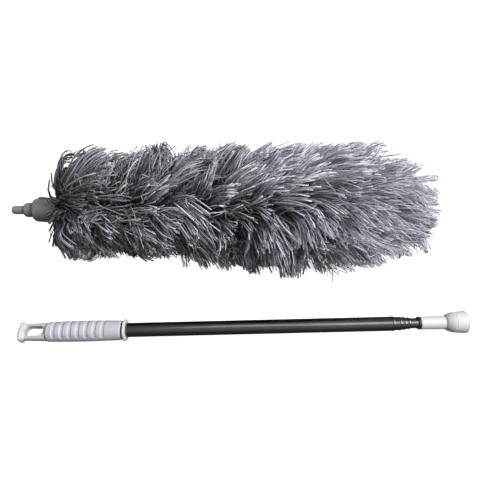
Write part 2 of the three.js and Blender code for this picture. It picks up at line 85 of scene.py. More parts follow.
# Grip and its grooves
GRIP_START = 35.3
GRIP_LENGTH = 95
GRIP_BORE = 9.15
GRIP_REAR_WALL = 3.3
GRIP_FRONT_WALL = 3.2
GRIP_SWELL = 0.8
GRIP_EDGE = 1.7
GROOVE_COUNT = 7
GROOVE_START = 7.1
GROOVE_PITCH = 10.4
GROOVE_WIDTH = 6.2
GROOVE_DEPTH = 0.95
GROOVE_SOFTNESS = 2.1
GROOVE_REACH = 66  # degrees to each side of the vertical
GRIP_EDGE_STEPS = 7
GRIP_RINGS = 330
GRIP_SIDES = 160

# Hanging loop: along, half width, half height and squareness of its cross-sections
LOOP_SECTIONS = (
    (0.0, 11.2, 7.8, 4),
    (1.0, 12.4, 9.0, 4),
    (3.2, 12.4, 9.0, 4),
    (4.3, 11.7, 7.8, 4),
    (5.6, 10.8, 5.8, 4),
    (7.6, 10.4, 4.9, 4),
    (33.6, 11.4, 7.0, 4),
    (33.8, 7.6, 6.6, 2),
    (35.2, 8.4, 8.4, 2),
    (49.3, 8.5, 8.5, 2),
)
LOOP_SIDES = 96
HOLE_REAR = 6.2
HOLE_FRONT = 30.6
HOLE_HALF_WIDTH = 6.3
HOLE_STEPS = 24
HOLE_TOOL_REACH = 30
LOOP_VOXEL = 0.42
LOOP_SMOOTHING = 9

# Head, along its axis from the end of the plug
HINGES = (178.2, 291.2, 404.2)
BACKING_START = 65.5
BACKING_END = 514.2
BACKING_RADIUS = 9.0
BACKING_BORE = 6.3
BACKING_RIB = 0.25
BACKING_TURN = 6  # length of one turn of the tape
BACKING_STEP = 1.5
BACKING_SIDES = 48

# Outline of the fluff
FLUFF_START = 59.1
FLUFF_ROOT_RADIUS = 79
FLUFF_RADIUS = 100
FLUFF_LIMIT = 94
FLUFF_WIDEST = 424.1
FLUFF_END = 578
FLUFF_BLUNTNESS = 2.25  # 2 gives an ellipse at the free end
FLUFF_LAST_ANGLE = 1.48
FLUFF_TILT = 0.24  # how much further the fibres reach up and back at the plug's end
FLUFF_TILT_ANGLE = math.radians(58)
FLUFF_TILT_REACH = 0.9
FLUFF_TILT_POWER = 0.7
FLUFF_PRESS = 0.27  # how far the fibres on top lie down under their own weight
FLUFF_PRESS_ANGLE = math.radians(-18)
FLUFF_PRESS_WIDTH = 0.85
FLUFF_PRESS_LOSS = 0.8  # how much of that is lost at the free end
PARTING_TURN = 0.62  # how far the fibres beside the parting on top fall away from it
PARTING_EDGE = 0.2
PARTING_WIDTH = 1.1
PARTING_SIDE = 0.2  # how far in front of the pressed side it runs
PARTING_WANDER = 0.35
PARTING_WAVES = 9.5
PARTING_PHASE = 0.6
SHOULDER_DROP = 0.36
SHOULDER_LEAD = 6
SHOULDER_LENGTH = 24
SHOULDER_POWER = 1.5

# Stretches of the head, as shares of it: where each starts or ends, and how long the change is
PRESS_FADE = (0.35, 0.35)
FREE_START = (0.45, 0.4)
TANGLE_START = (0, 0.14)
TANGLE_END = (0.55, 0.3)
FRONT_END = (0.95, 0.25)
UPRIGHT_START = (0.35, 0.2)
UPRIGHT_END = (0.9, 0.2)

# Fibres
FIBRE_COUNT = 15500
FIBRE_SEGMENTS = 11
FIBRE_WIDTH = 2.5
FIBRE_WIDTHS = (0.75, 1.2)
FIBRE_THICKNESS = 0.5
FIBRE_LENGTHS = (0.91, 1.0)
FIBRE_JITTER = 0.12
FIBRE_CUTS = (153, 405, 475)  # where a piece ends only to keep its faces few
FIRST_TIPS = (0, 16)  # from the start of the fluff
LAST_TIPS = (-8, 8)  # from its end
TIP_LIMITS = (0.95, 1.0)
UNDER_COUNT = 2600
UNDER_SEGMENTS = 4
UNDER_WIDTHS = (1, 1.5)
UNDER_LENGTHS = (0.45, 0.72)
UNDER_JITTER = 0.2
UNDER_TURN = 0.2
UNDER_BEND = 4
THREAD_COUNT = 200
THREAD_SEGMENTS = 18
THREAD_WIDTHS = (0.36, 0.5)
THREAD_LIFT = (0.7, 0.84)
THREAD_WAVES = (0.25, 0.75)
THREAD_WAVE_ALONG = (0.004, 0.014)
THREAD_WAVE_AROUND = (0.03, 0.11)
THREAD_START = 0.08
THREAD_STRETCH = 0.76
THREAD_CROWDING = 1.2
THREAD_RUN = (-0.02, 0.08)
THREAD_TURN = 0.28
GOLDEN_ANGLE = 2.399963

# Tufts and the locks in them: count, turn, push along the head, lengths and bend
TUFTS = (130, 0.26, 15, (0.88, 1.08), 8)
LOCKS = (430, 0.24, 13, (0.78, 1.1), 8)
LOCK_JITTER = 0.2
LOCK_ALONG = 530  # millimetres for the whole head, and for a radian around it
LOCK_ACROSS = 78
CLUMP = (0.4, 0.8)  # how far the tips of a lock come together
CLUMP_LOSS = 0.05

# How single fibres stray from their lock, and by how much more at the loose, free and tangled ones
LOOSE_SHARE = 0.03
LOOSE_STRAY = 3.0
FREE_STRAY = 0.4
TANGLE_STRAY = 1.6
STRAY_TURN = 0.035
STRAY_PUSH = 3
STRAY_BEND = 2
TANGLE_TURN = 0.5
TANGLE_BEND = 0.4
TANGLE_THINNING = 0.2
FREE_THINNING = 0.48

# How the fibres lie
LIE_TURN = 0.9
LIE_PUSH = 0.7
LIE_BEND = 0.4
LIE_ALONG = (10, 26)
FREE_PUSH = 0.5
FRONT_LEAN = 0.8
UPRIGHT_LEAN = 0.25
SAG_TURN = 0.3  # how far a fibre at the side turns down under its weight, in radians
DROOP = (1, 8)
ROOT_SINK = 0.3
LEAVE_OUT = 0.6
LEAVE_ON = 0.5
SWEEP = (0.08, 0, -0.2)
CURVE = 0.36
LIE_CURVE = 0.12
LIE_SWEEP = 2
ROOT_BEND = 0.4
FIBRE_WAVE = 2.1
FIBRE_WAVES = (0.5, 1.6)
WAVE_SPAN = 80
WAVE_STRAY = 0.35
WAVE_PHASE = 0.4
WAVE_TURNS = (0.85, 1.15)
WAVE_HEIGHTS = (0.5, 1.2)
WAVE_GROWTH = 0.7
FLOOR_GAP = 0.8
FLOOR_LOWEST = 0.3
FLOOR_LAYER = 5
FLOOR_SIDE = 12
FLOOR_SPREAD = 0.25
FLOOR_SWEEP = 0.35

# Tones of the fibres: roots darkened as painted shade; paler towards the free end and in two stretches,
# partly their own tone and partly painted light
MAIN_TONE = 0.44
# The under fibres are dark as painted shade in the depths of the fluff.
UNDER_SHADE_TONE = 0.14
THREAD_TONE = 0.9
TONE_SPREAD = 0.55
TONE_RISE = 1.2
TONE_POWER = 1.6
UNDER_SPREAD = 0.25
GROUP_TONE = 0.22
FREE_EVENNESS = 0.3
PALE_ROOT = 0.69
PALE_END = 2.2
PALE_STRETCHES = ((0.4, 0.35, 0.08), (0.3, 0.65, 0.07))
PALEST = 0.93  # a soft ceiling
FIBRE_TINT = (0.95, 0.955, 1.065)
TINT_SPREAD = 0.015


# Meshes

def link(name, mesh):
    piece = bpy.data.objects.new(name, mesh)
    bpy.context.scene.collection.objects.link(piece)
    return piece


def triangle_mesh(name, vertices, triangles):
    """A mesh from arrays of points and of corner numbers, shaded smooth."""
    mesh = bpy.data.meshes.new(name)
    mesh.vertices.add(len(vertices))
    mesh.vertices.foreach_set("co", np.asarray(vertices, np.float32).ravel())
    mesh.loops.add(triangles.size)
    mesh.loops.foreach_set("vertex_index", triangles.astype(np.int32).ravel())
    mesh.polygons.add(len(triangles))
    mesh.polygons.foreach_set("loop_start", np.arange(0, triangles.size, 3, dtype=np.int32))
    mesh.update(calc_edges=True)
    mesh.validate()
    mesh.polygons.foreach_set("use_smooth", np.ones(len(triangles), bool))
    return mesh


def pole_matrix():
    return Matrix.Translation(Vector(POLE_ORIGIN) * MM) @ Matrix.Scale(MM, 4)


def head_matrix():
    turn = Matrix.Rotation(math.radians(HEAD_YAW), 4, "Z")
    return Matrix.Translation(Vector(HEAD_ORIGIN) * MM) @ turn @ Matrix.Scale(MM, 4)


def rounded(corners):
    """The line through (along, radius, fillet) corners with each corner rounded."""
    points = []
    for i, (along, radius, fillet) in enumerate(corners):
        here = np.array((along, radius), float)
        if fillet == 0:
            points.append(here)
            continue
        into = np.array(corners[i - 1][:2]) - here
        out = np.array(corners[(i + 1) % len(corners)][:2]) - here
        into_length = np.linalg.norm(into)
        out_length = np.linalg.norm(out)
        into = into / into_length
        out = out / out_length
        if into_length > 2 * SUPPORT * fillet:
            points.append(here + into * fillet * SUPPORT)
        for t in np.linspace(0, 1, FILLET_STEPS + 1):
            points.append(here + fillet * ((1 - t) ** 2 * into + t**2 * out))
        if out_length > 2 * SUPPORT * fillet:
            points.append(here + out * fillet * SUPPORT)
    return points


def lathe(name, profile, matrix, sides=LATHE_SIDES):
    """Turns a profile about X. Its outside runs towards +X, and it closes on itself or on the axis."""
    vertices = []
    rings = []
    for along, radius in profile:
        first = len(vertices)
        if radius < 1e-6:
            vertices.append((along, 0, 0))
            rings.append([first] * sides)
            continue
        for i in range(sides):
            angle = 2 * math.pi * i / sides
            vertices.append((along, radius * math.sin(angle), radius * math.cos(angle)))
        rings.append(list(range(first, first + sides)))
    faces = []
    for here, after in zip(rings, rings[1:] + rings[:1]):
        for i in range(sides):
            j = (i + 1) % sides
            corners = list(dict.fromkeys((here[i], after[i], after[j], here[j])))
            if len(corners) > 2:
                faces.append(corners)
    mesh = bpy.data.meshes.new(name)
    mesh.from_pydata(vertices, [], faces)
    mesh.transform(matrix)
    mesh.polygons.foreach_set("use_smooth", np.ones(len(faces), bool))
    mesh.update()
    return link(name, mesh)


def finish_piece(piece, body, node, material):
    piece.data.materials.append(material)
    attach(piece, body)
    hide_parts(node)
    return piece


# Materials

def new_material(name):
    material = bpy.data.materials.new(name)
    material.use_nodes = True
    return material, material.node_tree.nodes["Principled BSDF"]


def add_node(material, kind, **inputs):
    """A node in a material or in the world, with inputs set by name."""
    node = material.node_tree.nodes.new(kind)
    for name, value in inputs.items():
        node.inputs[name.replace("_", " ")].default_value = value
    return node


def wire(material, start, end):
    material.node_tree.links.new(start, end)


def place(material, scale=(1, 1, 1)):
    """Object coordinates, stretched."""
    coordinates = add_node(material, "ShaderNodeTexCoord")
    mapping = add_node(material, "ShaderNodeMapping", Scale=scale)
    wire(material, coordinates.outputs["Object"], mapping.inputs["Vector"])
    return mapping.outputs["Vector"]


def noise(material, scale, detail=3.0, roughness=0.55, stretch=(1, 1, 1)):
    node = add_node(material, "ShaderNodeTexNoise", Scale=scale, Detail=detail, Roughness=roughness)
    wire(material, place(material, stretch), node.inputs["Vector"])
    return node.outputs["Fac"]


def ramp(material, source, stops):
    """A colour for each (position, colour) stop of a value."""
    node = add_node(material, "ShaderNodeValToRGB")
    elements = node.color_ramp.elements
    while len(elements) < len(stops):
        elements.new(0.5)
    for element, (position, colour) in zip(elements, stops):
        element.position = position
        element.color = (*colour, 1)
    wire(material, source, node.inputs["Fac"])
    return node.outputs["Color"]


def spread(material, source, low, high):
    """A noise value carried from its usual range to the range from low to high."""
    node = add_node(material, "ShaderNodeMapRange", From_Min=0.3, From_Max=0.7, To_Min=low, To_Max=high)
    wire(material, source, node.inputs["Value"])
    return node.outputs["Result"]


def bump(material, shader, source, strength, distance):
    node = add_node(material, "ShaderNodeBump", Strength=strength, Distance=distance)
    wire(material, source, node.inputs["Height"])
    wire(material, node.outputs["Normal"], shader.inputs["Normal"])


def multiply(material, first, second, share=1.0):
    node = add_node(material, "ShaderNodeMix")
    node.data_type = "RGBA"
    node.blend_type = "MULTIPLY"
    node.inputs[0].default_value = share
    wire(material, first, node.inputs[6])
    wire(material, second, node.inputs[7])
    return node.outputs[2]


def moulded_plastic(name, light, dark, roughness, grain, grain_depth):
    """Moulded plastic: cloudy colour, uneven gloss, a fine grain, and painted shade darkening the hollows.
    """
    material, shader = new_material(name)
    cloud = ramp(material, noise(material, 26, 4), ((0.3, dark), (0.62, light)))
    geometry = add_node(material, "ShaderNodeNewGeometry")
    # Painted shade: grooves and hollows are darkened by pointiness, where shade falls.
    hollow_shade = ramp(material, geometry.outputs["Pointiness"], ((0.42, (0.62, 0.61, 0.6)), (0.49, (1, 1, 1))))
    wire(material, multiply(material, cloud, hollow_shade), shader.inputs["Base Color"])
    wire(material, spread(material, noise(material, 90, 4), *roughness), shader.inputs["Roughness"])
    bump(material, shader, noise(material, grain, 2), 0.35, grain_depth)
    return material


def smoked_chrome():
    """Dark plated steel tube: lengthwise polishing streaks, smudges, faint scratches, and painted shade
    darkening its grooves.
    """
    material, shader = new_material("smoked_chrome")
    streaks = noise(material, 1, 5, 0.6, (14, 900, 900))
    smudges = noise(material, 38, 5, 0.6)
    colour = ramp(material, streaks, ((0.3, (0.188, 0.17, 0.174)), (0.7, (0.262, 0.242, 0.252))))
    stain = ramp(material, smudges, ((0.35, (0.86, 0.84, 0.82)), (0.6, (1, 1, 1))))
    geometry = add_node(material, "ShaderNodeNewGeometry")
    # Painted shade: the groove behind each lip is darkened almost to black, as a shadow gap.
    hollow_shade = ramp(material, geometry.outputs["Pointiness"], ((0.42, (0.05, 0.05, 0.05)), (0.49, (1, 1, 1))))
    worn = multiply(material, colour, stain)
    wire(material, multiply(material, worn, hollow_shade), shader.inputs["Base Color"])
    shader.inputs["Metallic"].default_value = 1
    wire(material, spread(material, smudges, 0.1, 0.18), shader.inputs["Roughness"])
    bump(material, shader, streaks, 0.05, 0.00005)
    return material


def dark_rubber():
    material, shader = new_material("dark_rubber")
    tones = ((0.3, (0.016, 0.016, 0.017)), (0.7, (0.035, 0.035, 0.038)))
    colour = ramp(material, noise(material, 160, 4), tones)
    wire(material, colour, shader.inputs["Base Color"])
    wire(material, spread(material, noise(material, 300, 3), 0.3, 0.48), shader.inputs["Roughness"])
    bump(material, shader, noise(material, 1500, 2), 0.4, 0.0001)
    return material


def grey_fibre():
    """Flat microfibre strips: each strip has its own tone, with fuzz along it and a soft sheen."""
    material, shader = new_material("grey_fibre")
    # The strip colours carry painted shade at the roots and, partly, painted light along the head.
    tone = add_node(material, "ShaderNodeAttribute")
    tone.attribute_name = "fibre_tone_and_painted_light"
    fuzz = ramp(material, noise(material, 700, 4, 0.7), ((0.3, (0.6, 0.6, 0.61)), (0.68, (1, 1, 1))))
    wire(material, multiply(material, tone.outputs["Color"], fuzz), shader.inputs["Base Color"])
    wire(material, spread(material, noise(material, 420, 3), 0.45, 0.7), shader.inputs["Roughness"])
    shader.inputs["Specular IOR Level"].default_value = 0.35
    shader.inputs["Sheen Weight"].default_value = 0.2
    shader.inputs["Sheen Roughness"].default_value = 0.4
    bump(material, shader, noise(material, 1600, 3), 0.4, 0.0002)
    return material


def backing_cloth():
    """Woven tape around the core."""
    material, shader = new_material("backing_cloth")
    weave = add_node(material, "ShaderNodeTexWave", Scale=260.0, Distortion=1.5, Detail=2.0)
    wire(material, place(material), weave.inputs["Vector"])
    colour = ramp(material, weave.outputs["Fac"], ((0.2, (0.02, 0.02, 0.022)), (0.8, (0.06, 0.06, 0.065))))
    wire(material, colour, shader.inputs["Base Color"])
    wire(material, spread(material, noise(material, 300), 0.8, 0.95), shader.inputs["Roughness"])
    bump(material, shader, weave.outputs["Fac"], 0.5, 0.0003)
    return material


# Moulded plastics: light and dark tone, roughness, and how fine and how deep the grain is
PLASTICS = {
    "white_plastic": ((0.69, 0.69, 0.715), (0.64, 0.64, 0.66), (0.3, 0.44), 1500, 0.00006),
    "socket_plastic": ((0.76, 0.743, 0.742), (0.69, 0.673, 0.67), (0.3, 0.44), 1500, 0.00006),
    # A darker copy of the white plastic: painted shade for the hanging loop.
    "shaded_loop_plastic": ((0.62, 0.625, 0.64), (0.56, 0.565, 0.58), (0.36, 0.5), 1500, 0.00008),
    "grip_plastic": ((0.6, 0.6, 0.65), (0.54, 0.54, 0.585), (0.42, 0.58), 1100, 0.00012),
    "plug_plastic": ((0.27, 0.265, 0.28), (0.21, 0.207, 0.215), (0.4, 0.55), 1200, 0.0001),
    "bush_plastic": ((0.48, 0.46, 0.42), (0.42, 0.4, 0.36), (0.4, 0.55), 900, 0.0001),
    "core_plastic": ((0.05, 0.05, 0.054), (0.035, 0.035, 0.038), (0.5, 0.65), 900, 0.0001),
}


def build_materials():
    return {
        **{name: moulded_plastic(name, *look) for name, look in PLASTICS.items()},
        "smoked_chrome": smoked_chrome(),
        "dark_rubber": dark_rubber(),
        "grey_fibre": grey_fibre(),
        "backing_cloth": backing_cloth(),
    }


# Pole

def lipped_tube(index):
    radius, start, end = TUBES[index]
    bore = radius - TUBE_WALL
    lip_bore = TUBES[index + 1][0] + SLIDE_CLEARANCE
    lip = end - LIP_LENGTH
    neck = lip_bore + NECK_WALL
    return rounded((
        (start, radius, 0.1),
        (lip - BEAD_RUN, radius, 0.4),
        (lip + 0.1, radius + BEAD_HEIGHT, 0.6),
        (end - NECK_LENGTH - 0.4, radius + BEAD_HEIGHT, 0.5),
        (end - NECK_LENGTH, neck, 0.15),
        (end, neck, 0.08),
        (end, lip_bore, 0.08),
        (lip, lip_bore, 0.08),
        (lip, bore, 0.05),
        (start, bore, 0.05),
    ))


def last_tube():
    radius, start, end = TUBES[-1]
    bore = radius - TUBE_WALL
    return rounded(((start, radius, 0.1), (end, radius, 0.1), (end, bore, 0.1), (start, bore, 0.1)))


def grip_radius(along, angle):
    """Radius of the grip, with finger grooves that end in half rounds short of its two sides."""
    t = (along - GRIP_START) / GRIP_LENGTH
    wall = GRIP_REAR_WALL + (GRIP_FRONT_WALL - GRIP_REAR_WALL) * t + GRIP_SWELL * np.sin(math.pi * t)
    radius = GRIP_BORE + wall
    from_end = np.minimum(along - GRIP_START, GRIP_START + GRIP_LENGTH - along)
    corner = np.clip(1 - from_end / GRIP_EDGE, 0, 1)
    radius = radius - GRIP_EDGE * (1 - np.sqrt(1 - corner**2))
    from_vertical = np.arcsin(np.abs(np.sin(angle)))
    half = GROOVE_WIDTH / 2
    reach = math.radians(GROOVE_REACH) * (GRIP_BORE + wall) - half
    past_end = np.maximum(from_vertical * (GRIP_BORE + wall) - reach, 0)
    middle = GRIP_START + GROOVE_START + half
    nearest = np.clip(np.round((along - middle) / GROOVE_PITCH), 0, GROOVE_COUNT - 1)
    offset = along - middle - nearest * GROOVE_PITCH
    depth = np.clip((half - np.hypot(offset, past_end)) / GROOVE_SOFTNESS, 0, 1)
    return radius - GROOVE_DEPTH * depth * depth * (3 - 2 * depth)


def grip_sleeve():
    edge = GRIP_EDGE * (1 - np.cos(np.linspace(0, math.pi / 2, GRIP_EDGE_STEPS)))
    straight = np.linspace(GRIP_EDGE, GRIP_LENGTH - GRIP_EDGE, GRIP_RINGS)
    along = GRIP_START + np.concatenate((edge[:-1], straight, GRIP_LENGTH - edge[-2::-1]))
    angle = 2 * math.pi * np.arange(GRIP_SIDES) / GRIP_SIDES
    grid_along, grid_angle = np.meshgrid(along, angle, indexing="ij")
    radius = grip_radius(grid_along, grid_angle)
    bore = np.full((2, GRIP_SIDES), GRIP_BORE)
    grid_along = np.vstack((grid_along, np.full(GRIP_SIDES, along[-1]), np.full(GRIP_SIDES, along[0])))
    grid_angle = np.vstack((grid_angle, grid_angle[:2]))
    radius = np.vstack((radius, bore))
    points = np.stack((grid_along, radius * np.sin(grid_angle), radius * np.cos(grid_angle)), -1)
    mesh = triangle_mesh("grip", points.reshape(-1, 3), closed_loft(*radius.shape))
    mesh.transform(pole_matrix())
    return link("grip", mesh)


def closed_loft(rings, sides):
    """Triangles of a tube of rings that closes on itself, with the outside running towards +X."""
    k, i = np.meshgrid(np.arange(rings), np.arange(sides), indexing="ij")
    after = (k + 1) % rings
    j = (i + 1) % sides
    a, b, c, d = (k * sides + i, after * sides + i, after * sides + j, k * sides + j)
    return np.stack((np.stack((a, b, c), -1), np.stack((a, c, d), -1)), 2).reshape(-1, 3)


def slot_block():
    """The tool that cuts the hanging hole: a long slot with round ends, along Z."""
    outline = []
    rear = HOLE_REAR + HOLE_HALF_WIDTH
    front = HOLE_FRONT - HOLE_HALF_WIDTH
    for middle, start in ((front, -90), (rear, 90)):
        for step in range(HOLE_STEPS + 1):
            angle = math.radians(start + 180 * step / HOLE_STEPS)
            outline.append((middle + HOLE_HALF_WIDTH * math.cos(angle), HOLE_HALF_WIDTH * math.sin(angle)))
    count = len(outline)
    vertices = [(x, y, z) for z in (-HOLE_TOOL_REACH, HOLE_TOOL_REACH) for x, y in outline]
    faces = [tuple(reversed(range(count))), tuple(range(count, 2 * count))]
    for i in range(count):
        j = (i + 1) % count
        faces.append((i, j, count + j, count + i))
    mesh = bpy.data.meshes.new("slot_block")
    mesh.from_pydata(vertices, [], faces)
    return link("slot_block", mesh)


def loop_body():
    """The flange, the flattened plate and the round spigot, before the hole is cut."""
    vertices = []
    for along, width, height, power in LOOP_SECTIONS:
        for i in range(LOOP_SIDES):
            angle = 2 * math.pi * i / LOOP_SIDES
            across = math.copysign(abs(math.sin(angle)) ** (2 / power), math.sin(angle))
            above = math.copysign(abs(math.cos(angle)) ** (2 / power), math.cos(angle))
            vertices.append((along, width * across, height * above))
    count = len(LOOP_SECTIONS)
    faces = [tuple(reversed(range(LOOP_SIDES))), tuple(range(len(vertices) - LOOP_SIDES, len(vertices)))]
    for k in range(count - 1):
        for i in range(LOOP_SIDES):
            j = (i + 1) % LOOP_SIDES
            here = k * LOOP_SIDES
            after = here + LOOP_SIDES
            faces.append((here + i, after + i, after + j, here + j))
    mesh = bpy.data.meshes.new("loop_body")
    mesh.from_pydata(vertices, [], faces)
    return link("loop_body", mesh)


def hanging_loop():
    """The butt piece with its hole cut through and every edge softened."""
    body = loop_body()
    tool = slot_block()
    cut = body.modifiers.new("hole", "BOOLEAN")
    cut.object = tool
    cut.operation = "DIFFERENCE"
    remesh = body.modifiers.new("even", "REMESH")
    remesh.mode = "VOXEL"
    remesh.voxel_size = LOOP_VOXEL
    soften = body.modifiers.new("soften", "SMOOTH")
    soften.iterations = LOOP_SMOOTHING
    bpy.context.view_layer.update()
    evaluated = body.evaluated_get(bpy.context.evaluated_depsgraph_get())
    mesh = bpy.data.meshes.new_from_object(evaluated)
    mesh.name = "loop"
    bpy.data.objects.remove(body)
    bpy.data.objects.remove(tool)
    mesh.transform(pole_matrix())
    mesh.polygons.foreach_set("use_smooth", np.ones(len(mesh.polygons), bool))
    return link("loop", mesh)


def dome(start, length, low, high, fullness=2.0):
    """Corners of a dome in a profile: steep first, then level. A fullness of 2 gives an ellipse."""
    corners = []
    for step in range(DOME_STEPS + 1):
        angle = math.pi / 2 * step / DOME_STEPS
        along = start + length * (1 - math.cos(angle) ** (2 / fullness))
        corners.append((along, low + (high - low) * math.sin(angle) ** (2 / fullness), 0))
    return corners


# Profiles of the turned pieces: along, radius and fillet of each corner
COLLAR_RING = (
    (132.5, 14.0, 1.5),
    (135.9, 14.0, 1.5),
    (135.9, 9.15, 0.4),
    (132.5, 9.15, 0.3),
)
STOP_RING = (
    (507.2, 7.9, 0.6),
    (510.1, 7.9, 0.6),
    (510.1, 6.55, 0.15),
    (507.2, 6.55, 0.15),
)
TIP_SLEEVE = (
    (510.4, 8.2, 0.6),
    (541.7, 8.2, 0.4),
    (541.7, 7.0, 0.2),
    (526.55, 7.0, 0.1),
    (526.55, 6.55, 0.1),
    (510.4, 6.55, 0.2),
)
SOCKET_INSERT = (
    (526.7, 6.85, 0.2),
    (548.1, 6.85, 0.2),
    (548.1, 10.2, 0.3),
    (549.7, 11.45, 0.3),
    (563.1, 11.45, 0.3),
    (563.1, 10.25, 0.4),
    (549.7, 10.25, 0.4),
    (549.7, 6.05, 0.4),
    (526.7, 6.05, 0.2),
)
SOCKET_BELL = (
    (542.0, 8.0, 0.0),
    *dome(542.05, 10.7, 8.3, 12.9, 1.38),
    (553.1, 12.9, 0.35),
    (553.1, 11.6, 0.2),
    (549.4, 11.6, 0.2),
    (547.8, 10.4, 0.2),
    (547.8, 7.0, 0.2),
    (542.0, 7.0, 0.2),
)
BELL_RIM = (
    (553.4, 12.9, 0.35),
    (564.6, 14.0, 1.2),
    (566.1, 14.0, 0.15),
    (566.3, 13.6, 0.1),
    (566.9, 13.6, 0.1),
    (567.1, 14.0, 0.15),
    (568.0, 14.0, 0.5),
    (568.0, 12.6, 0.5),
    (563.4, 12.6, 0.4),
    (563.4, 11.6, 0.3),
    (553.4, 11.6, 0.2),
)
PLUG_TIP = (
    (0, 0, 0),
    (0, 5.8, 3.6),
    (17.7, 5.8, 0.3),
    (17.7, 3.5, 0.25),
    (41.7, 3.5, 0.3),
    (41.7, 0, 0),
)
PLUG_COLLAR = (
    (18.0, 8.2, 0.5),
    (19.8, 9.7, 0.9),
    (28.4, 10.0, 0.35),
    (28.9, 9.0, 0.25),
    (29.9, 9.0, 0.25),
    (30.4, 10.0, 0.35),
    (31.4, 10.0, 0.4),
    (31.4, 3.65, 0.2),
    (18.0, 3.65, 0.2),
)
CONNECTOR_BARREL = (
    (31.7, 11.6, 0.0),
    *dome(31.75, 4.5, 12.0, 16.0),
    (65.2, 18.0, 0.7),
    (65.2, 6.15, 0.4),
    (41.7, 6.15, 0.2),
    (41.7, 3.65, 0.2),
    (31.7, 3.65, 0.2),
)


def build_pole(materials):
    white = materials["white_plastic"]
    cream = materials["socket_plastic"]
    chrome = materials["smoked_chrome"]
    finish_piece(hanging_loop(), "pole", "hanging_loop", materials["shaded_loop_plastic"])
    finish_piece(grip_sleeve(), "pole", "grip_sleeve", materials["grip_plastic"])
    for index in range(len(TUBES)):
        number = index + 1
        body = "pole" if number == 1 else f"section_{number}"
        profile = last_tube() if number == len(TUBES) else lipped_tube(index)
        tube = lathe(f"chrome_tube_{number}", profile, pole_matrix())
        finish_piece(tube, body, f"tube_{number}", chrome)
    rows = (
        ("white_ring", COLLAR_RING, "pole", "collar_ring", "white_plastic", white),
        ("rubber_ring", STOP_RING, "section_5", "stop_ring", "dark_rubber", materials["dark_rubber"]),
        ("white_sleeve", TIP_SLEEVE, "section_5", "tip_sleeve", "white_plastic", white),
        ("socket_bush", SOCKET_INSERT, "section_5", "socket_insert", "white_plastic", cream),
        ("socket_shoulder", SOCKET_BELL, "section_5", "socket_bell", "white_plastic", cream),
        ("socket_rim", BELL_RIM, "section_5", "bell_rim", "white_plastic", cream),
    )
    for name, corners, body, node, slot, material in rows:
        finish_piece(lathe(name, rounded(corners), pole_matrix()), body, node, material)


def build_plug(materials):
    plug = materials["plug_plastic"]
    rows = (
        ("plug_pin", PLUG_TIP, "plug_tip"),
        ("plug_ring", PLUG_COLLAR, "plug_collar"),
        ("plug_barrel", CONNECTOR_BARREL, "connector_barrel"),
    )
    for name, corners, node in rows:
        piece = lathe(name, rounded(corners), head_matrix())
        finish_piece(piece, "head_base", node, plug)


def dress_cad_nodes(materials):
    """The inner pieces keep their CAD shape and get their own finish."""
    for name, node in frame["nodes"].items():
        if name.startswith("friction_bush"):
            node.data.materials.clear()
            node.data.materials.append(materials["bush_plastic"])
        if name.startswith("core_link") or name == "end_cap":
            node.data.materials.clear()
            node.data.materials.append(materials["core_plastic"])


# Fibres

def unit(vectors):
    return vectors / np.maximum(np.linalg.norm(vectors, axis=-1, keepdims=True), 1e-9)


def envelope(share):
    """Where fibre tips lie, as (along, radius): a cone up to the widest place, then a blunt round end."""
    cone = FLUFF_WIDEST - FLUFF_START
    end = FLUFF_END - FLUFF_WIDEST
    rounding = FLUFF_LAST_ANGLE * math.sqrt((end**2 + FLUFF_RADIUS**2) / 2)
    travelled = np.clip(share, 0, 1) * (cone + rounding)
    t = np.clip(travelled / cone, 0, 1)
    angle = np.clip((travelled - cone) / rounding, 0, 1) * FLUFF_LAST_ANGLE
    along = FLUFF_START + cone * t + end * np.sin(angle) ** (2 / FLUFF_BLUNTNESS)
    radius = FLUFF_ROOT_RADIUS + (FLUFF_RADIUS - FLUFF_ROOT_RADIUS) * t * t
    return along, radius * np.cos(angle) ** (2 / FLUFF_BLUNTNESS)


def rise(value, start, span):
    """0 up to a start, then up to 1 over a span."""
    return np.clip((value - start) / span, 0, 1)


def fall(value, end, span):
    """1 until a span before an end, then down to 0 at the end."""
    return np.clip((end - value) / span, 0, 1)


def tilt(share, angle):
    """The head is fuller above and behind at the plug's end, where the lower fibres are pressed flat."""
    reach = np.clip(1 - share / FLUFF_TILT_REACH, 0, 1) ** FLUFF_TILT_POWER
    return 1 + FLUFF_TILT * reach * np.cos(angle - FLUFF_TILT_ANGLE)


def turned(angle, middle):
    """The angle from a middle, between minus and plus half a turn."""
    return (angle - middle + math.pi) % (2 * math.pi) - math.pi


def press(share, angle):
    """1 on top of the head, where the fibres lie down, and 0 at its sides. Less at the free end."""
    away = turned(angle, FLUFF_PRESS_ANGLE)
    top = np.exp(-((away / FLUFF_PRESS_WIDTH) ** 2))
    return top * (1 - FLUFF_PRESS_LOSS * rise(share, *PRESS_FADE))


def parting(share, angle):
    """How far a fibre on top turns to its own side of the wandering parting."""
    line = FLUFF_PRESS_ANGLE - PARTING_SIDE + PARTING_WANDER * np.sin(PARTING_WAVES * share + PARTING_PHASE)
    away = turned(angle, line)
    return PARTING_TURN * np.tanh(away / PARTING_EDGE) * np.exp(-((away / PARTING_WIDTH) ** 2))


def shoulder(along):
    """The rounded end of the fluff beside the plug."""
    near = np.clip(1 - (along - FLUFF_START + SHOULDER_LEAD) / SHOULDER_LENGTH, 0, 1)
    return 1 - SHOULDER_DROP * near**SHOULDER_POWER


def on_head(along, radius, angle):
    return np.stack((along, radius * np.sin(angle), radius * np.cos(angle)), -1)


def root_place(share):
    return BACKING_START + (BACKING_END - BACKING_START) * share


